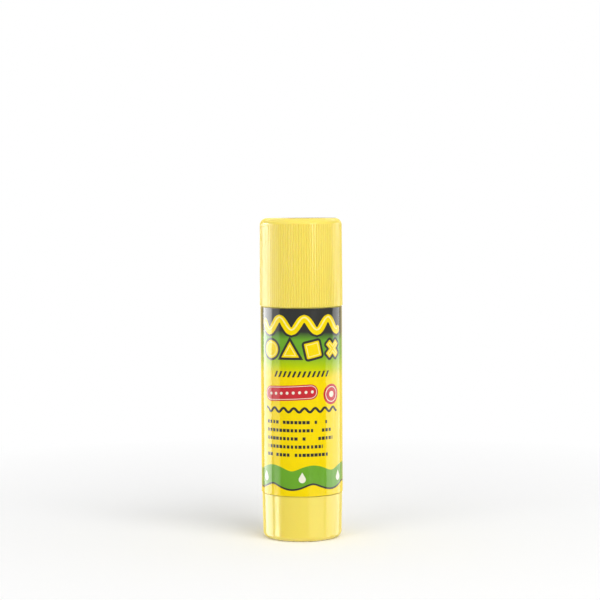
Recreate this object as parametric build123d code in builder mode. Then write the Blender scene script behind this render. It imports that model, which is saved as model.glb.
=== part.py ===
from build123d import *
import math
import os

# Twist-up glue stick, capped, standing on its knob. Millimetres, +Z up, origin at the centre of
# the foot. The glue sits on a carrier, which a left-hand feed screw lifts as the knob is turned.

# Driving sizes of the stack, from the foot up.
knob_height = 12.9
body_height = 53.0
cap_height = 25.0
cap_headroom = 7.8
bore_radius = 9.7
barrel_wall = 1.8

# Running gaps and seats between pieces.
knob_turn_gap = 0.1
web_gap_under_spigot = 0.4
socket_gap = 0.3
spigot_clearance = 0.1
journal_clearance = 0.1
flange_float = 0.1
thread_clearance = 0.15
carrier_clearance = 0.15
key_clearance = 0.15
glue_clearance = 0.1
cap_seat_gap = 0.1
cap_bore_clearance = 0.15
cap_grip_clearance = 0.05
liner_ring_clearance = 0.2
press_clearance = 0.03
cut_overrun = 1.0

# Heights inside the knob, which the spigot and the screw's foot follow.
foot_recess = 0.8
knob_floor = 1.4
web_height = 3.4
socket_lift = 1.8

knob_floor_top = foot_recess + knob_floor
web_top = knob_floor_top + web_height
socket_bottom = knob_floor_top + socket_lift

# Barrel: tube, neck for the cap, floor with the screw's bearing, and spigot for the knob.
neck_wall = 0.85
neck_lip_chamfer = 0.25
body_rim_fillet = 0.1
neck_bead_rise = 0.11
neck_bead_height = 0.9
neck_bead_lift = 3.0
floor_thickness = 1.4
spigot_inset = 1.4
spigot_wall = 1.4
snap_groove_depth = 0.4
snap_groove_height = 1.8
snap_groove_lift = 2.2
key_count = 4
key_width = 0.8
key_height = 0.45
key_stop_below_mouth = 2.5

# Feed screw: hexagonal foot, journal, flange that rests on the barrel's floor, and long thread.
screw_lead = 4.0
screw_core_radius = 2.3
thread_depth = 1.0
thread_root_width = 1.9
thread_crest_width = 0.9
thread_lift = 1.5
thread_stop_below_tip = 2.9
tip_chamfer = 0.6
bearing_lip = 0.3
flange_overlap = 1.4
flange_thickness = 1.2
foot_sides = 6
foot_corner_inset = 0.15
foot_chamfer = 0.3

barrel_radius = bore_radius + barrel_wall
neck_radius = bore_radius + neck_wall
spigot_radius = barrel_radius - spigot_inset
body_bottom = knob_height + knob_turn_gap
bore_floor = body_bottom + floor_thickness
shoulder = body_bottom + body_height
neck_height = cap_height - cap_headroom
neck_top = shoulder + neck_height
spigot_bottom = web_top + web_gap_under_spigot
key_top = neck_top - key_stop_below_mouth
screw_crest_radius = screw_core_radius + thread_depth
bearing_radius = screw_crest_radius + bearing_lip

with BuildPart() as barrel:
    with BuildSketch(Plane.XZ):
        with BuildLine():
            Polyline(
                (bearing_radius, body_bottom),
                (spigot_radius - spigot_wall, body_bottom),
                (spigot_radius - spigot_wall, spigot_bottom),
                (spigot_radius, spigot_bottom),
                (spigot_radius, body_bottom),
                (barrel_radius, body_bottom),
                (barrel_radius, shoulder),
                (neck_radius, shoulder),
                (neck_radius, neck_top),
                (bore_radius, neck_top),
                (bore_radius, bore_floor),
                (bearing_radius, bore_floor),
                close=True,
            )
        make_face()
    revolve(axis=Axis.Z)
    rims = barrel.edges().filter_by(GeomType.CIRCLE)
    chamfer(rims.group_by(Axis.Z)[-1], neck_lip_chamfer)
    body_rims = barrel.edges().filter_by(GeomType.CIRCLE).group_by(SortBy.RADIUS)[-1]
    fillet(body_rims, body_rim_fillet)
    # Low snap bead round the neck.
    with BuildSketch(Plane.XZ):
        with Locations((neck_radius, shoulder + neck_bead_lift)):
            Ellipse(neck_bead_rise, neck_bead_height / 2)
    revolve(axis=Axis.Z)
    # Groove that the knob snaps into.
    with BuildSketch(Plane.XZ):
        with Locations((spigot_radius, spigot_bottom + snap_groove_lift)):
            Rectangle(2 * snap_groove_depth, snap_groove_height)
    revolve(axis=Axis.Z, mode=Mode.SUBTRACT)
    # Keys down the bore, which stop the carrier turning.
    with BuildSketch(Plane.XY.offset(bore_floor)):
        with PolarLocations(bore_radius, key_count):
            Rectangle(2 * key_height, key_width)
    extrude(amount=key_top - bore_floor)
barrel.part.label = "barrel"

# Label: printed film wrapped once round the barrel, lapped at the back.
label_glue_line = 0.02
label_thickness = 0.1
label_lap_width = 3.2
label_lap_rise = 0.07

label_inner = barrel_radius + label_glue_line
label_outer = label_inner + label_thickness
label_bottom = body_bottom + body_rim_fillet
label_height = body_height - 2 * body_rim_fillet

with BuildPart() as label:
    with BuildSketch(Plane.XY.offset(label_bottom)):
        Circle(label_outer)
        Circle(label_inner, mode=Mode.SUBTRACT)
    extrude(amount=label_height)
    with BuildSketch(Plane.XY.offset(label_bottom)):
        Circle(label_outer + label_lap_rise)
        Circle(label_outer - label_thickness / 2, mode=Mode.SUBTRACT)
        with Locations((0, label_outer)):
            Rectangle(label_lap_width, label_outer, mode=Mode.INTERSECT)
    extrude(amount=label_height)
label.part.label = "label"


def threaded_rod(core_radius, crest_radius, root_width, crest_width, rod_span, thread_span):
    # A plain core with a left-hand ridge round it, whose root is buried in the core.
    buried_root = (crest_radius - core_radius) / 2
    flank_run = (root_width - crest_width) / 2
    with BuildPart() as rod:
        with BuildSketch(Plane.XY.offset(rod_span[0])):
            Circle(core_radius)
        extrude(amount=rod_span[1] - rod_span[0])
        with BuildLine():
            turns = Helix(
                screw_lead,
                thread_span[1] - thread_span[0],
                core_radius,
                center=(0, 0, thread_span[0]),
                lefthand=True,
            )
        with BuildSketch(Plane(origin=turns @ 0, x_dir=(1, 0, 0), z_dir=turns % 0)):
            with BuildLine():
                Polyline(
                    (-buried_root, -root_width / 2 - flank_run / 2),
                    (crest_radius - core_radius, -crest_width / 2),
                    (crest_radius - core_radius, crest_width / 2),
                    (-buried_root, root_width / 2 + flank_run / 2),
                    close=True,
                )
            make_face()
        sweep(path=turns, is_frenet=True)
    return rod.part


# Carrier sizes that the screw and the glue follow.
carrier_float = 0.4
carrier_skirt_height = 11.4
carrier_plate = 1.4
carrier_rim_height = 3.0
carrier_rim_below_mouth = 0.6
collar_gap = 0.3
screw_hold = 6.2

journal_radius = bearing_radius - journal_clearance
foot_corner_radius = journal_radius - foot_corner_inset
flange_radius = bearing_radius + flange_overlap
flange_bottom = bore_floor + flange_float
flange_top = flange_bottom + flange_thickness
carrier_bottom = bore_floor + carrier_float
plate_bottom = carrier_bottom + carrier_skirt_height
plate_top = plate_bottom + carrier_plate
rim_top = plate_top + carrier_rim_height
collar_bottom = flange_top + collar_gap
feed_travel = neck_top - carrier_rim_below_mouth - rim_top
screw_top = collar_bottom + feed_travel + screw_hold
thread_bottom = flange_top + thread_lift
thread_top = screw_top - thread_stop_below_tip
foot_top = body_bottom - journal_clearance
foot_bottom = socket_bottom + socket_gap

with BuildPart() as feed_screw:
    with BuildSketch(Plane.XY.offset(foot_bottom)):
        RegularPolygon(foot_corner_radius, foot_sides)
    extrude(amount=foot_top - foot_bottom)
    chamfer(feed_screw.faces().sort_by(Axis.Z)[0].edges(), foot_chamfer)
    with BuildSketch(Plane.XY.offset(foot_top)):
        Circle(journal_radius)
    extrude(amount=flange_bottom - foot_top)
    with BuildSketch(Plane.XY.offset(flange_bottom)):
        Circle(flange_radius)
    extrude(amount=flange_thickness)
    add(
        threaded_rod(
            screw_core_radius,
            screw_crest_radius,
            thread_root_width,
            thread_crest_width,
            (flange_top, screw_top),
            (thread_bottom, thread_top),
        )
    )
    chamfer(feed_screw.faces().sort_by(Axis.Z)[-1].edges(), tip_chamfer)
feed_screw.part.label = "feed_screw"

# Carrier: long skirt, plate, cup rim, and threaded collar, keyed to the barrel's bore.
carrier_wall = 0.9
carrier_web = 0.8
collar_wall = 1.45
glue_well_clearance = 0.3
glue_fin_cover = 0.8
fin_height = 2.6

carrier_radius = bore_radius - carrier_clearance
carrier_inner_radius = carrier_radius - carrier_wall
carrier_mid_wall = carrier_radius - carrier_wall / 2
nut_bore_radius = screw_core_radius + thread_clearance
nut_root_radius = screw_crest_radius + thread_clearance
collar_radius = nut_root_radius + collar_wall
well_radius = screw_crest_radius + glue_well_clearance
fin_inner_radius = well_radius + glue_fin_cover
notch_depth = key_height - carrier_clearance + key_clearance
notch_width = key_width + 2 * key_clearance

with BuildPart() as glue_carrier:
    with BuildSketch(Plane.XY.offset(carrier_bottom)):
        Circle(carrier_radius)
    extrude(amount=rim_top - carrier_bottom)
    # Hollow above and below the plate.
    with BuildSketch(Plane.XY.offset(plate_top)):
        Circle(carrier_inner_radius)
    extrude(amount=carrier_rim_height, mode=Mode.SUBTRACT)
    with BuildSketch(Plane.XY.offset(carrier_bottom)):
        Circle(carrier_inner_radius)
    extrude(amount=carrier_skirt_height, mode=Mode.SUBTRACT)
    # Collar, and webs from it to the skirt.
    with BuildSketch(Plane.XY.offset(collar_bottom)):
        Circle(collar_radius)
        with PolarLocations(carrier_mid_wall / 2, key_count, start_angle=180 / key_count):
            Rectangle(carrier_mid_wall, carrier_web)
    extrude(amount=plate_bottom - collar_bottom)
    # Fins that stop the glue turning on the plate.
    with BuildSketch(Plane.XY.offset(plate_top)):
        with PolarLocations((fin_inner_radius + carrier_mid_wall) / 2, key_count):
            Rectangle(carrier_mid_wall - fin_inner_radius, carrier_web)
    extrude(amount=fin_height)
    # Notches that run along the barrel's keys.
    with BuildSketch(Plane.XY.offset(carrier_bottom)):
        with PolarLocations(carrier_radius, key_count):
            Rectangle(2 * notch_depth, notch_width)
    extrude(amount=rim_top - carrier_bottom, mode=Mode.SUBTRACT)
    # Threaded bore, in step with the screw's thread.
    add(
        threaded_rod(
            nut_bore_radius,
            nut_root_radius,
            thread_root_width + 2 * thread_clearance,
            thread_crest_width + 2 * thread_clearance,
            (thread_bottom - 3 * screw_lead, plate_top + 2 * screw_lead),
            (thread_bottom - 2 * screw_lead, plate_top + screw_lead),
        ),
        mode=Mode.SUBTRACT,
    )
glue_carrier.part.label = "glue_carrier"

# Glue: block cast on the carrier, round the screw, with grooves left by the barrel's keys.
glue_below_mouth = 1.5
glue_tip_clearance = 0.6
glue_edge_fillet = 0.5

glue_radius = bore_radius - glue_clearance
glue_top = neck_top - glue_below_mouth
glue_cup_radius = carrier_inner_radius - press_clearance
well_top = screw_top + glue_tip_clearance
groove_depth = key_height - glue_clearance + key_clearance

with BuildPart() as glue_block:
    with BuildSketch(Plane.XY.offset(plate_top)):
        Circle(glue_cup_radius)
    extrude(amount=carrier_rim_height)
    with BuildSketch(Plane.XY.offset(rim_top)):
        Circle(glue_radius)
    extrude(amount=glue_top - rim_top)
    fillet(glue_block.faces().sort_by(Axis.Z)[-1].edges(), glue_edge_fillet)
    with BuildSketch(Plane.XY.offset(plate_top)):
        Circle(well_radius)
    extrude(amount=well_top - plate_top, mode=Mode.SUBTRACT)
    # Slots round the carrier's fins.
    with BuildSketch(Plane.XY.offset(plate_top)):
        with PolarLocations((fin_inner_radius - press_clearance + carrier_radius) / 2, key_count):
            Rectangle(
                carrier_radius - fin_inner_radius + press_clearance,
                carrier_web + 2 * press_clearance,
            )
    extrude(amount=fin_height + press_clearance, mode=Mode.SUBTRACT)
    with BuildSketch(Plane.XY.offset(rim_top)):
        with PolarLocations(glue_radius, key_count):
            Rectangle(2 * groove_depth, notch_width)
    extrude(amount=glue_top - rim_top, mode=Mode.SUBTRACT)
glue_block.part.label = "glue_block"

# Moulding gate's mark in the middle of knob and cap: a dimple with a nub in it.
gate_radius = 1.6
gate_depth = 0.35
gate_nub_radius = 0.5
gate_nub_height = 0.2

# Knob: cup that turns on the barrel's spigot, with a hexagonal socket for the screw's foot.
knob_top_inset = 0.05
knob_taper = 0.25
knob_edge_fillet = 1.6
knob_lip_fillet = 0.15
foot_rim_width = 1.5
hub_wall = 1.85
snap_bead_rise = 0.3
snap_bead_height = 1.1
web_count = 6
web_thickness = 0.9

knob_top_radius = barrel_radius - knob_top_inset
knob_foot_radius = knob_top_radius - knob_taper
knob_bore_radius = spigot_radius + spigot_clearance
recess_radius = knob_foot_radius - knob_edge_fillet - foot_rim_width
hub_radius = foot_corner_radius + hub_wall

with BuildPart() as knob:
    with BuildSketch(Plane.XZ):
        with BuildLine():
            Polyline(
                (0, 0),
                (knob_foot_radius, 0),
                (knob_top_radius, knob_height),
                (0, knob_height),
                close=True,
            )
        make_face()
    revolve(axis=Axis.Z)
    fillet(knob.faces().sort_by(Axis.Z)[0].edges(), knob_edge_fillet)
    fillet(knob.faces().sort_by(Axis.Z)[-1].edges(), knob_lip_fillet)
    with BuildSketch(Plane.XY.offset(knob_floor_top)):
        Circle(knob_bore_radius)
    extrude(amount=knob_height - knob_floor_top, mode=Mode.SUBTRACT)
    # Shallow recess underneath, which leaves a rim to stand on.
    with BuildSketch(Plane.XY):
        Circle(recess_radius)
    extrude(amount=foot_recess, mode=Mode.SUBTRACT)
    with BuildSketch(Plane.XY.offset(foot_recess)):
        Circle(gate_radius)
    extrude(amount=gate_depth, mode=Mode.SUBTRACT)
    with BuildSketch(Plane.XY.offset(foot_recess + gate_depth)):
        Circle(gate_nub_radius)
    extrude(amount=-gate_nub_height)
    with BuildSketch(Plane.XY.offset(knob_floor_top)):
        Circle(hub_radius)
    extrude(amount=knob_height - knob_floor_top)
    # Webs between hub and skirt.
    with BuildSketch(Plane.XY.offset(knob_floor_top)):
        with PolarLocations((hub_radius + knob_bore_radius) / 2, web_count):
            Rectangle(knob_bore_radius - hub_radius + web_thickness, web_thickness)
    extrude(amount=web_top - knob_floor_top)
    # Bead that snaps into the spigot's groove.
    with BuildSketch(Plane.XZ):
        with Locations((knob_bore_radius, spigot_bottom + snap_groove_lift)):
            Ellipse(snap_bead_rise, snap_bead_height / 2)
    revolve(axis=Axis.Z)
    with BuildSketch(Plane.XY.offset(socket_bottom)):
        RegularPolygon(foot_corner_radius + press_clearance, foot_sides)
    extrude(amount=knob_height - socket_bottom, mode=Mode.SUBTRACT)
knob.part.label = "knob"

# Cap: drafted shell with fine ribs outside, open below.
cap_overhang = 0.3
cap_taper = 0.15
cap_mouth_chamfer = 0.2
cap_edge_fillet = 2.0
cap_crown = 1.4
rib_count = 100
rib_stop_below_top = 1.7
channel_share = 0.6
channel_depth = 0.09
grip_rib_count = 8
grip_rib_width = 0.7
grip_rib_lift = 8.0
grip_rib_height = 8.0
catch_groove_depth = 0.15
catch_groove_height = 1.4

# Liner: soft plug pressed into the crown, whose ring closes the barrel's mouth.
liner_disc = 1.2
liner_disc_inset = 1.1
liner_ring_wall = 0.8
liner_ring_reach = 0.8
liner_bead_rise = 0.15
liner_bead_height = 0.7

cap_mouth_radius = barrel_radius + cap_overhang
cap_shoulder_radius = cap_mouth_radius - cap_taper
cap_bore_radius = neck_radius + cap_bore_clearance
cap_mouth = shoulder + cap_seat_gap
cap_top = cap_mouth + cap_height
cap_ceiling = cap_top - cap_crown
liner_radius = cap_bore_radius - liner_disc_inset
liner_bottom = cap_ceiling - liner_disc
channel_width = channel_share * 2 * math.pi * cap_mouth_radius / rib_count
channel_radius = (channel_width**2 / 4 + channel_depth**2) / (2 * channel_depth)
channel_centre_radius = cap_mouth_radius - channel_depth + channel_radius

with BuildPart() as rib_channel:
    flank = Plane(
        origin=(channel_centre_radius, 0, cap_mouth),
        x_dir=(0, 1, 0),
        z_dir=(-cap_taper, 0, cap_height),
    )
    with BuildSketch(flank):
        Circle(channel_radius)
    extrude(amount=cap_height - rib_stop_below_top)
    with BuildSketch(flank):
        Circle(channel_radius)
    extrude(amount=-cut_overrun)

with BuildPart() as cap:
    with BuildSketch(Plane.XZ):
        with BuildLine():
            Polyline(
                (0, cap_mouth),
                (cap_mouth_radius, cap_mouth),
                (cap_shoulder_radius, cap_top),
                (0, cap_top),
                close=True,
            )
        make_face()
    revolve(axis=Axis.Z)
    fillet(cap.faces().sort_by(Axis.Z)[-1].edges(), cap_edge_fillet)
    chamfer(cap.faces().sort_by(Axis.Z)[0].edges(), cap_mouth_chamfer)
    with BuildSketch(Plane.XY.offset(cap_top)):
        Circle(gate_radius)
    extrude(amount=-gate_depth, mode=Mode.SUBTRACT)
    with BuildSketch(Plane.XY.offset(cap_top - gate_depth)):
        Circle(gate_nub_radius)
    extrude(amount=gate_nub_height)
    with PolarLocations(0, rib_count):
        add(rib_channel.part, mode=Mode.SUBTRACT)
    with BuildSketch(Plane.XY.offset(cap_mouth)):
        Circle(cap_bore_radius)
    extrude(amount=liner_bottom - cap_mouth, mode=Mode.SUBTRACT)
    with BuildSketch(Plane.XY.offset(liner_bottom)):
        Circle(liner_radius + press_clearance)
    extrude(amount=liner_disc, mode=Mode.SUBTRACT)
    # Catch groove for the neck's bead.
    with BuildSketch(Plane.XZ):
        with Locations((cap_bore_radius, shoulder + neck_bead_lift)):
            Ellipse(catch_groove_depth, catch_groove_height / 2)
    revolve(axis=Axis.Z, mode=Mode.SUBTRACT)
    # Low ribs inside, which grip the neck.
    with BuildSketch(Plane.XY.offset(cap_mouth + grip_rib_lift)):
        with PolarLocations(cap_bore_radius, grip_rib_count):
            Rectangle(2 * (cap_bore_clearance - cap_grip_clearance), grip_rib_width)
    extrude(amount=grip_rib_height)
cap.part.label = "cap"

ring_radius = bore_radius - liner_ring_clearance
ring_bottom = neck_top - liner_ring_reach

with BuildPart() as cap_liner:
    with BuildSketch(Plane.XY.offset(liner_bottom)):
        Circle(liner_radius)
    extrude(amount=liner_disc)
    with BuildSketch(Plane.XY.offset(ring_bottom)):
        Circle(ring_radius)
        Circle(ring_radius - liner_ring_wall, mode=Mode.SUBTRACT)
    extrude(amount=liner_bottom - ring_bottom)
    with BuildSketch(Plane.XZ):
        with Locations((ring_radius, ring_bottom + liner_bead_height / 2)):
            Ellipse(liner_bead_rise, liner_bead_height / 2)
    revolve(axis=Axis.Z)
cap_liner.part.label = "cap_liner"

pieces = [barrel, label, feed_screw, glue_carrier, glue_block, knob, cap, cap_liner]
os.makedirs("parts", exist_ok=True)
for piece in pieces:
    export_step(piece.part, f"parts/{piece.part.label}.step")

print("cap top", cap_top, "shoulder", shoulder, "neck top", neck_top)
print("feed travel", feed_travel, "turns", feed_travel / screw_lead, "screw top", screw_top)
print("glue from", plate_top, "to", glue_top, "volume", glue_block.part.volume)
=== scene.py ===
import math

import bpy
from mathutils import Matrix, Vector

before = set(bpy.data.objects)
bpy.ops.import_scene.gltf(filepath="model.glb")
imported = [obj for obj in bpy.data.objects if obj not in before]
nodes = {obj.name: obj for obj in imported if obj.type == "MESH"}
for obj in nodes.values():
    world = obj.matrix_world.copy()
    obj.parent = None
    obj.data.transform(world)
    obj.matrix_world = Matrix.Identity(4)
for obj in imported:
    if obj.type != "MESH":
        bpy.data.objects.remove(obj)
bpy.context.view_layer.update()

print("stage: frame loaded,", len(nodes), "nodes")


# small helpers for materials and node groups

millimetres = 1000.0
bumpDistance = 0.0004
white = (1.0, 1.0, 1.0, 1.0)
black = (0.0, 0.0, 0.0, 1.0)
# places of the colour sockets on Blender's mix node
mixSockets = {"factor": 0, "under": 6, "over": 7, "result": 2}


def calc(tree, operation, *values):
    node = tree.nodes.new("ShaderNodeMath")
    node.operation = operation
    for socket, value in zip(node.inputs, values):
        if isinstance(value, (int, float)):
            socket.default_value = value
        else:
            tree.links.new(value, socket)
    return node.outputs[0]


def plus(tree, first, second):
    return calc(tree, "ADD", first, second)


def minus(tree, first, second):
    return calc(tree, "SUBTRACT", first, second)


def times(tree, first, second):
    return calc(tree, "MULTIPLY", first, second)


def least(tree, first, *others):
    for other in others:
        first = calc(tree, "MINIMUM", first, other)
    return first


def greatest(tree, first, *others):
    for other in others:
        first = calc(tree, "MAXIMUM", first, other)
    return first


def centred(tree, value):
    # moves a noise of 0 to 1 so that it swings about zero
    return minus(tree, value, 0.5)


def vectorLength(tree, x, y):
    return calc(tree, "SQRT", plus(tree, times(tree, x, x), times(tree, y, y)))


def ramp(tree, value, low, high, toLow=0.0, toHigh=1.0):
    node = tree.nodes.new("ShaderNodeMapRange")
    node.clamp = True
    for socket, number in zip(node.inputs[1:5], (low, high, toLow, toHigh)):
        socket.default_value = number
    tree.links.new(value, node.inputs[0])
    return node.outputs[0]


def newGroup(name, inputs, outputs):
    group = bpy.data.node_groups.new(name, "ShaderNodeTree")
    for socketName, kind, value in inputs:
        socket = group.interface.new_socket(socketName, in_out="INPUT", socket_type=kind)
        socket.default_value = value
    for socketName, kind in outputs:
        group.interface.new_socket(socketName, in_out="OUTPUT", socket_type=kind)
    return group, group.nodes.new("NodeGroupInput").outputs, group.nodes.new("NodeGroupOutput").inputs


def newDistanceGroup(name, **inputs):
    # a group that takes plain numbers and gives a distance
    sockets = [(socketName, "NodeSocketFloat", value) for socketName, value in inputs.items()]
    return newGroup(name, sockets, [("Distance", "NodeSocketFloat")])


def useGroup(tree, group, **values):
    node = tree.nodes.new("ShaderNodeGroup")
    node.node_tree = group
    for name, value in values.items():
        socket = node.inputs[name]
        if isinstance(value, bpy.types.NodeSocket):
            tree.links.new(value, socket)
        else:
            socket.default_value = value
    return node.outputs


def newMaterial(name, settings):
    material = bpy.data.materials.new(name)
    material.use_nodes = True
    tree = material.node_tree
    shader = tree.nodes["Principled BSDF"]
    for socketName, value in settings.items():
        shader.inputs[socketName].default_value = value
    return material, tree, shader


def mixColour(tree, factor, under, over):
    node = tree.nodes.new("ShaderNodeMix")
    node.data_type = "RGBA"
    node.clamp_factor = True
    for key, value in (("factor", factor), ("under", under), ("over", over)):
        socket = node.inputs[mixSockets[key]]
        if isinstance(value, bpy.types.NodeSocket):
            tree.links.new(value, socket)
        else:
            socket.default_value = value
    return node.outputs[mixSockets["result"]]


def objectPlace(tree):
    # object coordinates in millimetres
    place = tree.nodes.new("ShaderNodeTexCoord")
    scaled = tree.nodes.new("ShaderNodeVectorMath")
    scaled.operation = "SCALE"
    scaled.inputs["Scale"].default_value = millimetres
    tree.links.new(place.outputs["Object"], scaled.inputs[0])
    return scaled.outputs[0]


def splitPlace(tree, place):
    split = tree.nodes.new("ShaderNodeSeparateXYZ")
    tree.links.new(place, split.inputs[0])
    return split.outputs


def noise(tree, place, scale, detail=2.0, stretch=(1.0, 1.0, 1.0)):
    mapping = tree.nodes.new("ShaderNodeMapping")
    mapping.inputs["Scale"].default_value = stretch
    tree.links.new(place, mapping.inputs["Vector"])
    texture = tree.nodes.new("ShaderNodeTexNoise")
    texture.inputs["Scale"].default_value = scale
    texture.inputs["Detail"].default_value = detail
    tree.links.new(mapping.outputs[0], texture.inputs["Vector"])
    return texture.outputs["Fac"]


def cellNoise(tree, x, y):
    join = tree.nodes.new("ShaderNodeCombineXYZ")
    for socket, value in zip(join.inputs, (x, y)):
        tree.links.new(value, socket)
    texture = tree.nodes.new("ShaderNodeTexWhiteNoise")
    texture.noise_dimensions = "2D"
    tree.links.new(join.outputs[0], texture.inputs["Vector"])
    return texture.outputs["Value"]


def bump(tree, shader, height, strength):
    node = tree.nodes.new("ShaderNodeBump")
    node.inputs["Strength"].default_value = strength
    node.inputs["Distance"].default_value = bumpDistance
    tree.links.new(height, node.inputs["Height"])
    tree.links.new(node.outputs["Normal"], shader.inputs["Normal"])


# moulded plastics and the glue

mouldGrain = {
    "streak": {"scale": 0.42, "detail": 3.0, "stretch": (1.0, 1.0, 0.05)}, "streakGain": 8.0,
    "cloud": {"scale": 0.16, "detail": 4.0}, "cloudDepth": 0.12, "cloudHeight": 0.6,
    "grain": {"scale": 5.2, "detail": 2.0}, "grainHeight": 0.06,
}


def makeMouldedGrain():
    # colour streaks along the pull, uneven gloss, and the fine grain of a moulded skin
    group, given, result = newGroup(
        "mouldedGrain",
        [
            ("Streaks", "NodeSocketFloat", 0.05),
            ("Gloss", "NodeSocketFloat", 0.3),
            ("Unevenness", "NodeSocketFloat", 0.08),
            ("Colour", "NodeSocketColor", (0.8, 0.8, 0.8, 1.0)),
            ("Deep", "NodeSocketColor", (0.6, 0.6, 0.6, 1.0)),
        ],
        [
            ("Colour", "NodeSocketColor"),
            ("Roughness", "NodeSocketFloat"),
            ("Height", "NodeSocketFloat"),
        ],
    )
    place = objectPlace(group)
    streak = noise(group, place, **mouldGrain["streak"])
    cloud = noise(group, place, **mouldGrain["cloud"])
    grain = noise(group, place, **mouldGrain["grain"])
    lean = times(group, centred(group, streak), given["Streaks"])
    depth = plus(
        group, times(group, lean, mouldGrain["streakGain"]), times(group, cloud, mouldGrain["cloudDepth"]))
    gloss = centred(group, cloud)
    group.links.new(mixColour(group, depth, given["Colour"], given["Deep"]), result["Colour"])
    group.links.new(
        calc(group, "MULTIPLY_ADD", gloss, given["Unevenness"], given["Gloss"]), result["Roughness"])
    skin = times(group, grain, mouldGrain["grainHeight"])
    group.links.new(calc(group, "MULTIPLY_ADD", cloud, mouldGrain["cloudHeight"], skin), result["Height"])
    return group


mouldedGrain = makeMouldedGrain()

mouldedBody = {"IOR": 1.49, "Subsurface Radius": (1.0, 0.7, 0.25), "Subsurface Scale": 0.0015}

mouldings = {
    "paleYellowPlastic": {
        "colour": (0.922, 0.745, 0.124, 1.0), "deep": (0.875, 0.675, 0.080, 1.0),
        "streaks": 0.012, "gloss": 0.17, "unevenness": 0.08, "bump": 0.05, "scatter": 0.25,
    },
    "whitePlastic": {
        "colour": (0.800, 0.800, 0.770, 1.0), "deep": (0.700, 0.700, 0.660, 1.0),
        "streaks": 0.03, "gloss": 0.42, "unevenness": 0.15, "bump": 0.10, "scatter": 0.20,
    },
    "softLinerPlastic": {
        "colour": (0.780, 0.800, 0.780, 1.0), "deep": (0.690, 0.710, 0.690, 1.0),
        "streaks": 0.02, "gloss": 0.38, "unevenness": 0.10, "bump": 0.06, "scatter": 0.35,
    },
    "waxyGlue": {
        "colour": (0.840, 0.815, 0.735, 1.0), "deep": (0.760, 0.725, 0.620, 1.0),
        "streaks": 0.02, "gloss": 0.46, "unevenness": 0.25, "bump": 0.35, "scatter": 0.45,
    },
}


def makeMoulding(name, look):
    material, tree, shader = newMaterial(name, {**mouldedBody, "Subsurface Weight": look["scatter"]})
    grain = useGroup(
        tree, mouldedGrain,
        Colour=look["colour"], Deep=look["deep"], Streaks=look["streaks"],
        Gloss=look["gloss"], Unevenness=look["unevenness"],
    )
    tree.links.new(grain["Colour"], shader.inputs["Base Color"])
    tree.links.new(grain["Roughness"], shader.inputs["Roughness"])
    bump(tree, shader, grain["Height"], look["bump"])
    return material


plastics = {name: makeMoulding(name, look) for name, look in mouldings.items()}

# sizes in millimetres; painted shade darkens each valley between the ribs, and comes in and goes out at shares
# of its depth
capRibs = {
    "mouth": 66.1, "height": 25.0, "mouthRadius": 11.8, "taper": 0.15, "depth": 0.09,
    "start": 66.3, "stop": 89.4, "endBlend": 0.1,
    "comesIn": (0.1, 0.8), "goesOut": (1.2, 1.5),
    "shadedValley": (0.865, 0.655, 0.080, 1.0), "valleyGloss": 0.26,
}


def makeRibbedPlastic():
    # the yellow plastic with painted shade, a darker colour, and less shine down the valleys between the ribs
    material = makeMoulding("ribbedYellowPlastic", mouldings["paleYellowPlastic"])
    tree = material.node_tree
    shader = tree.nodes["Principled BSDF"]
    x, y, up = splitPlace(tree, objectPlace(tree))
    crest = ramp(
        tree, up, capRibs["mouth"], capRibs["mouth"] + capRibs["height"],
        capRibs["mouthRadius"], capRibs["mouthRadius"] - capRibs["taper"])
    depth = minus(tree, crest, vectorLength(tree, x, y))
    comesIn = [share * capRibs["depth"] for share in capRibs["comesIn"]]
    goesOut = [share * capRibs["depth"] for share in capRibs["goesOut"]]
    shadedValley = least(
        tree, ramp(tree, depth, *comesIn), ramp(tree, depth, *goesOut, 1.0, 0.0),
        ramp(tree, up, capRibs["start"], capRibs["start"] + capRibs["endBlend"]),
        ramp(tree, up, capRibs["stop"] - capRibs["endBlend"], capRibs["stop"], 1.0, 0.0))
    colour = shader.inputs["Base Color"].links[0].from_socket
    gloss = shader.inputs["Roughness"].links[0].from_socket
    # painted shade: a darker yellow mixed into the valleys between the ribs
    tree.links.new(mixColour(tree, shadedValley, colour, capRibs["shadedValley"]), shader.inputs["Base Color"])
    valleyGloss = times(tree, shadedValley, capRibs["valleyGloss"])
    tree.links.new(greatest(tree, gloss, valleyGloss), shader.inputs["Roughness"])
    return material


plastics["ribbedYellowPlastic"] = makeRibbedPlastic()
print("stage: plastics made,", len(plastics))


# printed label: shapes are fields of distance in millimetres, below zero inside

# the wave ribbon's step towards its nearest point, as a share of the wavelength
longestStep = 0.16
# how steeply a cell that is left empty pushes its dash away
gapGain = 10.0


def makeRoundedBar():
    group, given, result = newDistanceGroup(
        "roundedBar", Across=0.0, Up=0.0, CentreAcross=0.0, CentreUp=0.0,
        HalfWidth=1.0, HalfHeight=1.0, Corner=0.0, Turn=0.0)
    x = minus(group, given["Across"], given["CentreAcross"])
    y = minus(group, given["Up"], given["CentreUp"])
    cosine = calc(group, "COSINE", given["Turn"])
    sine = calc(group, "SINE", given["Turn"])
    along = plus(group, times(group, x, cosine), times(group, y, sine))
    over = minus(group, times(group, y, cosine), times(group, x, sine))
    reach = []
    for value, half in ((along, "HalfWidth"), (over, "HalfHeight")):
        inner = minus(group, given[half], given["Corner"])
        reach.append(minus(group, calc(group, "ABSOLUTE", value), inner))
    outside = vectorLength(group, greatest(group, reach[0], 0.0), greatest(group, reach[1], 0.0))
    inside = least(group, greatest(group, *reach), 0.0)
    total = minus(group, plus(group, outside, inside), given["Corner"])
    group.links.new(total, result["Distance"])
    return group


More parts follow.
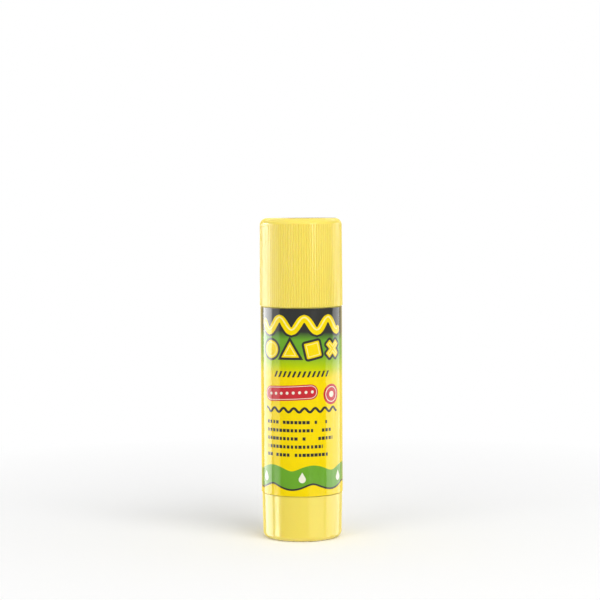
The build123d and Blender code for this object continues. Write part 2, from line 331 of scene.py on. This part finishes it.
def makeWaveRibbon():
    group, given, result = newDistanceGroup(
        "waveRibbon", Across=0.0, Up=0.0, CentreUp=0.0, Swing=1.0,
        Wavelength=6.0, Shift=0.0, HalfWidth=1.0, Reach=12.0)
    pace = calc(group, "DIVIDE", 2 * math.pi, given["Wavelength"])

    def wave(across, kind):
        angle = times(group, plus(group, across, given["Shift"]), pace)
        return times(group, calc(group, kind, angle), given["Swing"])

    high = minus(group, given["Up"], given["CentreUp"])
    slope = times(group, wave(given["Across"], "COSINE"), pace)
    error = minus(group, high, wave(given["Across"], "SINE"))
    # one step along the line towards the nearest point of the wave
    step = calc(
        group, "DIVIDE", times(group, error, slope), calc(group, "MULTIPLY_ADD", slope, slope, 1.0))
    longest = times(group, given["Wavelength"], longestStep)
    step = greatest(group, least(group, step, longest), times(group, longest, -1.0))
    near = least(group, plus(group, given["Across"], step), given["Reach"])
    near = greatest(group, near, times(group, given["Reach"], -1.0))
    reach = vectorLength(
        group, minus(group, given["Across"], near), minus(group, high, wave(near, "SINE")))
    group.links.new(minus(group, reach, given["HalfWidth"]), result["Distance"])
    return group


def makeSmallPrint():
    # rows of plain dashes of uneven length, in a box
    group, given, result = newDistanceGroup(
        "smallPrint", Across=0.0, Up=0.0, Left=-10.0, Right=10.0, Bottom=20.0, Top=30.0,
        Pitch=1.3, RowPitch=2.4, HalfHeight=0.4, Ragged=3.0, Slant=0.0, Fill=0.75, Uneven=0.5, Gaps=0.12)
    x = minus(group, given["Across"], given["Left"])
    y = minus(group, given["Up"], given["Bottom"])
    row = calc(group, "FLOOR", calc(group, "DIVIDE", y, given["RowPitch"]))
    rowMiddle = times(group, plus(group, row, 0.5), given["RowPitch"])
    high = minus(group, y, rowMiddle)
    x = minus(group, x, times(group, high, given["Slant"]))
    cell = calc(group, "FLOOR", calc(group, "DIVIDE", x, given["Pitch"]))
    chance = cellNoise(group, cell, row)
    cellMiddle = times(group, plus(group, cell, 0.5), given["Pitch"])
    size = calc(group, "MULTIPLY_ADD", centred(group, chance), given["Uneven"], given["Fill"])
    halfDash = times(group, times(group, given["Pitch"], 0.5), size)
    side = minus(group, calc(group, "ABSOLUTE", minus(group, x, cellMiddle)), halfDash)
    rise = minus(group, calc(group, "ABSOLUTE", high), given["HalfHeight"])
    rowLoss = times(group, cellNoise(group, row, given["Left"]), given["Ragged"])
    end = minus(group, given["Right"], rowLoss)
    total = greatest(
        group, side, rise,
        minus(group, given["Left"], given["Across"]), minus(group, given["Across"], end),
        minus(group, given["Bottom"], given["Up"]), minus(group, given["Up"], given["Top"]),
        times(group, minus(group, given["Gaps"], chance), gapGain),
    )
    group.links.new(total, result["Distance"])
    return group


roundedBar = makeRoundedBar()
waveRibbon = makeWaveRibbon()
smallPrint = makeSmallPrint()

inks = {
    "yellow": (0.955, 0.715, 0.000, 1.0),
    "paleYellow": (0.990, 0.880, 0.300, 1.0),
    "leaf": (0.155, 0.402, 0.030, 1.0),
    "lime": (0.500, 0.640, 0.001, 1.0),
    "dark": (0.040, 0.041, 0.037, 1.0),
    "red": (0.600, 0.032, 0.042, 1.0),
    "cream": (0.900, 0.870, 0.720, 1.0),
}

# millimetres across from the middle of the front and up from the foot, and turns in radians
label = {
    "radius": 11.62,
    "bottom": 13.1, "top": 65.9,
    "groundStops": ((46.5, "yellow"), (49.6, "lime"), (53.2, "leaf"), (57.0, "leaf"), (59.4, "dark")),
    "groundSway": 0.6,
    "edge": 0.07,
    "outline": 0.70,
    "ribbon": {
        "CentreUp": 61.3, "Swing": 1.75, "Wavelength": 7.3, "Shift": 1.0, "HalfWidth": 1.1, "Reach": 12.4,
    },
    "ribbonShine": {
        "CentreUp": 61.7, "Swing": 1.75, "Wavelength": 7.3, "Shift": 1.0, "HalfWidth": 0.2, "Reach": 12.0,
    },
    "disc": {"CentreAcross": -9.5, "CentreUp": 54.4, "HalfWidth": 2.5, "HalfHeight": 2.5, "Corner": 2.5},
    "triangle": {"across": -3.3, "up": 53.7, "inner": 1.5, "sides": (-90.0, 30.0, 150.0)},
    "square": {
        "CentreAcross": 3.3, "CentreUp": 54.3, "HalfWidth": 2.2, "HalfHeight": 2.2,
        "Corner": 0.35, "Turn": 0.22,
    },
    "cross": {"CentreAcross": 9.9, "CentreUp": 54.4, "Corner": 0.25, "Turn": 0.78},
    "crossArms": ((2.7, 0.95), (0.95, 2.7)),
    "cutOutLine": {"inset": 0.55, "halfWidth": 0.09},
    "strokes": {
        "Left": -8.4, "Right": 8.4, "Bottom": 46.3, "Top": 48.7, "Pitch": 1.4, "RowPitch": 2.4,
        "HalfHeight": 0.85, "Slant": 0.45, "Fill": 0.45, "Uneven": 0.0, "Gaps": 0.0, "Ragged": 0.0,
    },
    "pill": {
        "CentreAcross": -3.6, "CentreUp": 42.2, "HalfWidth": 8.3, "HalfHeight": 2.15,
        "Corner": 2.15, "Turn": 0.05,
    },
    "pillLine": {"inset": 0.42, "halfWidth": 0.08},
    "beads": {"shift": 60.0, "halfPitch": 0.9, "radius": 0.42, "inset": 1.3},
    "seal": {"across": 9.3, "up": 41.6, "radius": 2.9, "ring": 0.72, "ringHalfWidth": 0.12, "heart": 0.3},
    "ripple": {"CentreUp": 37.4, "Swing": 0.55, "Wavelength": 3.04, "HalfWidth": 0.36, "Reach": 11.4},
    "paragraph": {
        "Left": -11.4, "Right": 11.4, "Bottom": 23.6, "Top": 35.1, "Pitch": 1.14, "RowPitch": 2.3,
        "HalfHeight": 0.46, "Ragged": 6.0, "Fill": 0.70, "Uneven": 0.35, "Gaps": 0.15,
    },
    "band": {"CentreUp": 18.5, "Swing": 0.8, "Wavelength": 12.17, "HalfWidth": 2.5, "Reach": 40.0},
    "bandShade": {"CentreUp": 18.0, "Swing": 0.8, "Wavelength": 12.17, "HalfWidth": 2.55, "Reach": 40.0},
    "drops": {"up": 17.9, "pitch": 12.17, "shift": 5, "radius": 1.0, "flank": 30.0, "shoulder": 0.5},
    "panel": {"CentreAcross": 25.0, "CentreUp": 34.0, "HalfWidth": 6.8, "HalfHeight": 10.5, "Corner": 1.3},
    "panelLine": 0.15,
    "panelPrint": {
        "Left": 19.4, "Right": 30.8, "Bottom": 25.2, "Top": 43.4, "Pitch": 0.85, "RowPitch": 1.52,
        "HalfHeight": 0.28, "Ragged": 4.5, "Fill": 0.72, "Uneven": 0.3, "Gaps": 0.14,
    },
    "barsPanel": {
        "CentreAcross": -25.0, "CentreUp": 29.5, "HalfWidth": 6.3, "HalfHeight": 5.6, "Corner": 0.6,
    },
    "bars": {
        "Left": -30.1, "Right": -19.9, "Bottom": 24.9, "Top": 34.1, "Pitch": 0.56, "RowPitch": 9.2,
        "HalfHeight": 4.4, "Ragged": 0.0, "Fill": 0.6, "Uneven": 0.6, "Gaps": 0.1,
    },
    "lap": {"halfWidth": 1.6, "edge": 0.35},
}

film = {
    "body": {"IOR": 1.5, "Specular IOR Level": 0.4},
    "fineMottle": {"scale": 6.0, "detail": 3.0}, "broadMottle": {"scale": 0.5, "detail": 2.0},
    "mottleRange": (0.75, 1.35), "mottleDepth": 0.05,
    "cloud": {"scale": 0.35, "detail": 3.0}, "gloss": 0.13, "glossSwing": 0.08,
    "wrinkle": {"scale": 2.4, "detail": 2.0}, "wrinkleHeight": 0.15, "bump": 0.05,
}


def paintShape(tree, under, distance, ink, grow=0.0):
    mask = ramp(tree, distance, grow - label["edge"] / 2, grow + label["edge"] / 2, 1.0, 0.0)
    return mixColour(tree, mask, under, inks[ink])


def paintInnerLine(tree, under, distance, ink, line):
    # a thin line that follows a shape's edge, inside it
    follow = calc(tree, "ABSOLUTE", plus(tree, distance, line["inset"]))
    return paintShape(tree, under, follow, ink, line["halfWidth"])


def shape(tree, group, across, up, settings):
    return useGroup(tree, group, Across=across, Up=up, **settings)["Distance"]


def paintPiece(tree, under, across, up, group, piece, ink):
    return paintShape(tree, under, shape(tree, group, across, up, label[piece]), ink)


def makeGround(tree, up):
    node = tree.nodes.new("ShaderNodeValToRGB")
    stops = node.color_ramp.elements
    while len(stops) > 1:
        stops.remove(stops[-1])
    span = label["top"] - label["bottom"]
    for index, (height, ink) in enumerate(label["groundStops"]):
        place = (height - label["bottom"]) / span
        stop = stops[0] if index == 0 else stops.new(place)
        stop.position = place
        stop.color = inks[ink]
    tree.links.new(ramp(tree, up, label["bottom"], label["top"]), node.inputs[0])
    return node.outputs[0]


def paintRibbon(tree, colour, across, up):
    # a wavy line of glue on the dark band
    ribbon = shape(tree, waveRibbon, across, up, label["ribbon"])
    colour = paintShape(tree, colour, ribbon, "dark", label["outline"])
    colour = paintShape(tree, colour, ribbon, "yellow")
    return paintPiece(tree, colour, across, up, waveRibbon, "ribbonShine", "paleYellow")


def paintCutOuts(tree, colour, across, up):
    # paper cut-outs: disc, triangle, square and cross
    crossArms = [
        shape(tree, roundedBar, across, up, {**label["cross"], "HalfWidth": wide, "HalfHeight": high})
        for wide, high in label["crossArms"]
    ]
    triangle = label["triangle"]
    sides = []
    for angle in triangle["sides"]:
        reachX = math.cos(math.radians(angle))
        reachY = math.sin(math.radians(angle))
        part = times(tree, minus(tree, across, triangle["across"]), reachX)
        part = calc(tree, "MULTIPLY_ADD", minus(tree, up, triangle["up"]), reachY, part)
        sides.append(minus(tree, part, triangle["inner"]))
    cutOut = least(
        tree, greatest(tree, *sides), least(tree, *crossArms),
        *[shape(tree, roundedBar, across, up, label[piece]) for piece in ("disc", "square")])
    colour = paintShape(tree, colour, cutOut, "dark", label["outline"])
    colour = paintShape(tree, colour, cutOut, "yellow")
    return paintInnerLine(tree, colour, cutOut, "paleYellow", label["cutOutLine"])


def paintPill(tree, colour, across, up):
    # red pill with a cream line inside its edge and a row of beads along it
    settings, beads = label["pill"], label["beads"]
    pill = shape(tree, roundedBar, across, up, settings)
    colour = paintShape(tree, colour, pill, "red")
    colour = paintInnerLine(tree, colour, pill, "cream", label["pillLine"])
    beadAlong = calc(tree, "PINGPONG", plus(tree, across, beads["shift"]), beads["halfPitch"])
    lean = times(tree, minus(tree, across, settings["CentreAcross"]), settings["Turn"])
    beadUp = minus(tree, minus(tree, up, settings["CentreUp"]), lean)
    bead = minus(tree, vectorLength(tree, beadAlong, beadUp), beads["radius"])
    return paintShape(tree, colour, greatest(tree, bead, plus(tree, pill, beads["inset"])), "cream")


def paintSeal(tree, colour, across, up):
    # round red seal with a cream ring and heart
    seal = label["seal"]
    reach = vectorLength(tree, minus(tree, across, seal["across"]), minus(tree, up, seal["up"]))
    colour = paintShape(tree, colour, reach, "red", seal["radius"])
    ring = calc(tree, "ABSOLUTE", minus(tree, reach, seal["ring"] * seal["radius"]))
    colour = paintShape(tree, colour, ring, "cream", seal["ringHalfWidth"])
    return paintShape(tree, colour, reach, "cream", seal["heart"] * seal["radius"])


def paintBand(tree, colour, across, up):
    # green band that waves round the foot, with pale drops on it
    colour = paintPiece(tree, colour, across, up, waveRibbon, "bandShade", "dark")
    colour = paintPiece(tree, colour, across, up, waveRibbon, "band", "leaf")
    drops = label["drops"]
    shifted = plus(tree, across, drops["shift"] * drops["pitch"])
    dropX = calc(tree, "PINGPONG", shifted, drops["pitch"] / 2)
    dropY = minus(tree, up, drops["up"])
    belly = minus(tree, vectorLength(tree, dropX, dropY), drops["radius"])
    slope = math.radians(drops["flank"])
    flank = times(tree, dropX, math.cos(slope))
    flank = calc(tree, "MULTIPLY_ADD", dropY, math.sin(slope), flank)
    neck = greatest(
        tree, minus(tree, flank, drops["radius"]), minus(tree, drops["shoulder"] * drops["radius"], dropY))
    return paintShape(tree, colour, least(tree, belly, neck), "cream")


def paintBack(tree, colour, across, up):
    # a panel of small print and a block of plain bars
    panel = shape(tree, roundedBar, across, up, label["panel"])
    colour = paintShape(tree, colour, panel, "dark", label["panelLine"])
    colour = paintShape(tree, colour, panel, "cream")
    colour = paintPiece(tree, colour, across, up, smallPrint, "panelPrint", "dark")
    colour = paintPiece(tree, colour, across, up, roundedBar, "barsPanel", "cream")
    return paintPiece(tree, colour, across, up, smallPrint, "bars", "dark")


def paintLap(tree, colour, x, y):
    # bare film along the lap's edge
    line = calc(tree, "ABSOLUTE", minus(tree, x, label["lap"]["halfWidth"]))
    line = minus(tree, line, label["lap"]["edge"])
    return paintShape(tree, colour, greatest(tree, line, times(tree, y, -1.0)), "cream")


def makeLabelFilm():
    material, tree, shader = newMaterial("printedLabelFilm", film["body"])
    place = objectPlace(tree)
    x, y, up = splitPlace(tree, place)
    turn = calc(tree, "ARCTAN2", x, times(tree, y, -1.0))
    across = times(tree, turn, label["radius"])
    sway = calc(tree, "MULTIPLY_ADD", calc(tree, "SINE", turn), label["groundSway"], up)
    colour = makeGround(tree, sway)
    colour = paintRibbon(tree, colour, across, up)
    colour = paintCutOuts(tree, colour, across, up)
    colour = paintPiece(tree, colour, across, up, smallPrint, "strokes", "dark")
    colour = paintPill(tree, colour, across, up)
    colour = paintSeal(tree, colour, across, up)
    colour = paintPiece(tree, colour, across, up, waveRibbon, "ripple", "dark")
    colour = paintPiece(tree, colour, across, up, smallPrint, "paragraph", "dark")
    colour = paintBand(tree, colour, across, up)
    colour = paintBack(tree, colour, across, up)
    colour = paintLap(tree, colour, x, y)

    # ink that lies a little unevenly
    mottle = plus(tree, noise(tree, place, **film["fineMottle"]), noise(tree, place, **film["broadMottle"]))
    mottle = ramp(tree, mottle, *film["mottleRange"], 0.0, film["mottleDepth"])
    tree.links.new(mixColour(tree, mottle, colour, inks["dark"]), shader.inputs["Base Color"])
    cloud = noise(tree, place, **film["cloud"])
    gloss = calc(tree, "MULTIPLY_ADD", centred(tree, cloud), film["glossSwing"], film["gloss"])
    tree.links.new(gloss, shader.inputs["Roughness"])
    wrinkle = times(tree, noise(tree, place, **film["wrinkle"]), film["wrinkleHeight"])
    bump(tree, shader, plus(tree, cloud, wrinkle), film["bump"])
    return material


finishes = {
    "cap": plastics["ribbedYellowPlastic"],
    "knob": plastics["paleYellowPlastic"],
    "barrel": plastics["paleYellowPlastic"],
    "label": makeLabelFilm(),
    "feed_screw": plastics["whitePlastic"],
    "glue_carrier": plastics["whitePlastic"],
    "cap_liner": plastics["softLinerPlastic"],
    "glue_block": plastics["waxyGlue"],
}
for nodeName, finish in finishes.items():
    nodes[nodeName].data.materials.clear()
    nodes[nodeName].data.materials.append(finish)
print("stage: finishes given to", len(finishes), "nodes")


# studio: pale floor that fades to white, white surroundings, dark cloth and soft lamps for the gloss

studio = {
    "floorHalfWidth": 1.4, "floorCells": 8, "floorColour": (0.92, 0.92, 0.92, 1.0),
    "floorFinish": {"Roughness": 0.9, "Specular IOR Level": 0.0},
    "fadeStart": 0.05, "fadeEnd": 0.22,
    "ambient": 0.60,
    "clothRadius": 1.0, "clothHeight": 1.20, "clothSides": 48,
    "clothFinish": {
        "Base Color": black, "Specular IOR Level": 0.0,
        "Emission Color": white, "Emission Strength": 0.02,
    },
}


def seenDirectly(tree):
    # one for what the camera, a mirror or glass shows
    rays = tree.nodes.new("ShaderNodeLightPath")
    return greatest(
        tree, rays.outputs["Is Camera Ray"], rays.outputs["Is Glossy Ray"], rays.outputs["Is Transmission Ray"])


def makeFloor():
    bpy.ops.object.select_all(action="DESELECT")
    bpy.ops.mesh.primitive_grid_add(
        x_subdivisions=studio["floorCells"], y_subdivisions=studio["floorCells"],
        size=2 * studio["floorHalfWidth"])
    floor = bpy.context.object
    floor.name = "floor"
    material, tree, shader = newMaterial("paleFloor", studio["floorFinish"])
    place = tree.nodes.new("ShaderNodeTexCoord")
    x, y = splitPlace(tree, place.outputs["Object"])[:2]
    away = ramp(tree, vectorLength(tree, x, y), studio["fadeStart"], studio["fadeEnd"])
    direct = seenDirectly(tree)
    tree.links.new(mixColour(tree, direct, studio["floorColour"], white), shader.inputs["Base Color"])
    glow = tree.nodes.new("ShaderNodeEmission")
    blend = tree.nodes.new("ShaderNodeMixShader")
    tree.links.new(times(tree, away, direct), blend.inputs[0])
    tree.links.new(shader.outputs[0], blend.inputs[1])
    tree.links.new(glow.outputs[0], blend.inputs[2])
    tree.links.new(blend.outputs[0], tree.nodes["Material Output"].inputs["Surface"])
    floor.data.materials.append(material)
    floor.visible_glossy = False
    return floor


def makeDarkSurround():
    # dark cloth round the table, which only the gloss of the stick shows
    bpy.ops.object.select_all(action="DESELECT")
    bpy.ops.mesh.primitive_cylinder_add(
        vertices=studio["clothSides"], radius=studio["clothRadius"], depth=studio["clothHeight"],
        end_fill_type="NOTHING")
    cloth = bpy.context.object
    cloth.name = "darkSurround"
    cloth.data.materials.append(newMaterial("darkCloth", studio["clothFinish"])[0])
    cloth.visible_camera = False
    cloth.visible_diffuse = False
    cloth.visible_shadow = False
    cloth.visible_transmission = False
    return cloth


makeFloor()
makeDarkSurround()

world = bpy.data.worlds.new("studio")
bpy.context.scene.world = world
world.use_nodes = True
surroundings = world.node_tree.nodes["Background"]
surroundings.inputs["Color"].default_value = white
world.node_tree.links.new(
    ramp(world.node_tree, seenDirectly(world.node_tree), 0.0, 1.0, studio["ambient"], 1.0),
    surroundings.inputs["Strength"])

# bearing is in degrees to the right of the camera, radiance 1 is a white wall
glossLamps = {
    "leftBox": {
        "bearing": -112.0, "distance": 0.45, "height": 0.12, "size": (0.345, 0.22), "radiance": 8.4},
    "leftBoxLow": {
        "bearing": -114.0, "distance": 0.45, "height": -0.12, "size": (0.315, 0.26), "radiance": 5.8},
    "leftSoft": {
        "bearing": -77.0, "distance": 0.45, "height": -0.01, "size": (0.205, 0.48), "radiance": 2.0},
    "leftFootStrip": {
        "bearing": -79.0, "distance": 0.45, "height": -0.165, "size": (0.115, 0.20), "radiance": 11.0},
    "leftBack": {
        "bearing": -157.0, "distance": 0.50, "height": 0.10, "size": (0.40, 0.70), "radiance": 1.4,
        "tint": (1.0, 0.82, 0.30)},
    "rightLow": {
        "bearing": 86.0, "distance": 0.45, "height": -0.16, "size": (0.23, 0.34), "radiance": 3.3},
    "rightWall": {
        "bearing": 117.0, "distance": 0.50, "height": -0.01, "size": (0.325, 0.48), "radiance": 2.9},
    "rightBack": {
        "bearing": 156.5, "distance": 0.50, "height": 0.10, "size": (0.37, 0.70), "radiance": 1.1,
        "tint": (1.0, 0.86, 0.45)},
    "rightTopWash": {
        "bearing": 50.0, "distance": 0.45, "height": 0.16, "size": (0.42, 0.20), "radiance": 1.3},
    "footFill": {
        "bearing": 42.0, "distance": 0.45, "height": -0.155, "size": (0.40, 0.19), "radiance": 1.7},
    "frontRightTop": {
        "bearing": 35.0, "distance": 0.45, "height": 0.20, "size": (0.13, 0.27), "radiance": 4.6},
}
# these light the stick and the floor, and aim at the middle of the stick
skyLamps = {
    "keySky": {"bearing": 38.0, "distance": 0.80, "height": 0.85, "size": (0.70, 0.70), "radiance": 3.6},
    "fillSky": {"bearing": -42.0, "distance": 0.90, "height": 0.70, "size": (0.60, 0.60), "radiance": 1.7},
}
skyAim = 0.045


def makeLamp(name, look, aim, glossOnly):
    width, height = look["size"]
    light = bpy.data.lights.new(name, "AREA")
    light.shape = "RECTANGLE"
    light.size = width
    light.size_y = height
    light.energy = look["radiance"] * math.pi * width * height
    light.color = look.get("tint", white[:3])
    lamp = bpy.data.objects.new(name, light)
    bpy.context.scene.collection.objects.link(lamp)
    bearing = math.radians(look["bearing"])
    lamp.location = (
        look["distance"] * math.sin(bearing), -look["distance"] * math.cos(bearing), look["height"])
    target = Vector((0.0, 0.0, aim))
    lamp.rotation_euler = (target - lamp.location).to_track_quat("-Z", "Y").to_euler()
    lamp.visible_camera = False
    lamp.visible_diffuse = not glossOnly
    lamp.visible_glossy = glossOnly


for name, look in glossLamps.items():
    makeLamp(name, look, look["height"], True)
for name, look in skyLamps.items():
    makeLamp(name, look, skyAim, False)

# distances in metres, tilt and roll in degrees
view = {
    "lens": 105.28, "sensorWidth": 36.0, "clipStart": 0.01,
    "distance": 0.500, "height": 0.0940, "aside": -0.00017, "tilt": 3.01, "roll": 0.35,
}
camera = bpy.data.objects.new("camera", bpy.data.cameras.new("camera"))
bpy.context.scene.collection.objects.link(camera)
camera.data.lens = view["lens"]
camera.data.sensor_width = view["sensorWidth"]
camera.data.clip_start = view["clipStart"]
camera.location = (view["aside"], -view["distance"], view["height"])
camera.rotation_euler = (math.radians(90.0 - view["tilt"]), math.radians(view["roll"]), 0.0)
bpy.context.scene.camera = camera
bpy.context.scene.view_settings.view_transform = "Standard"
print("stage: studio ready,", len(glossLamps) + len(skyLamps), "lamps")
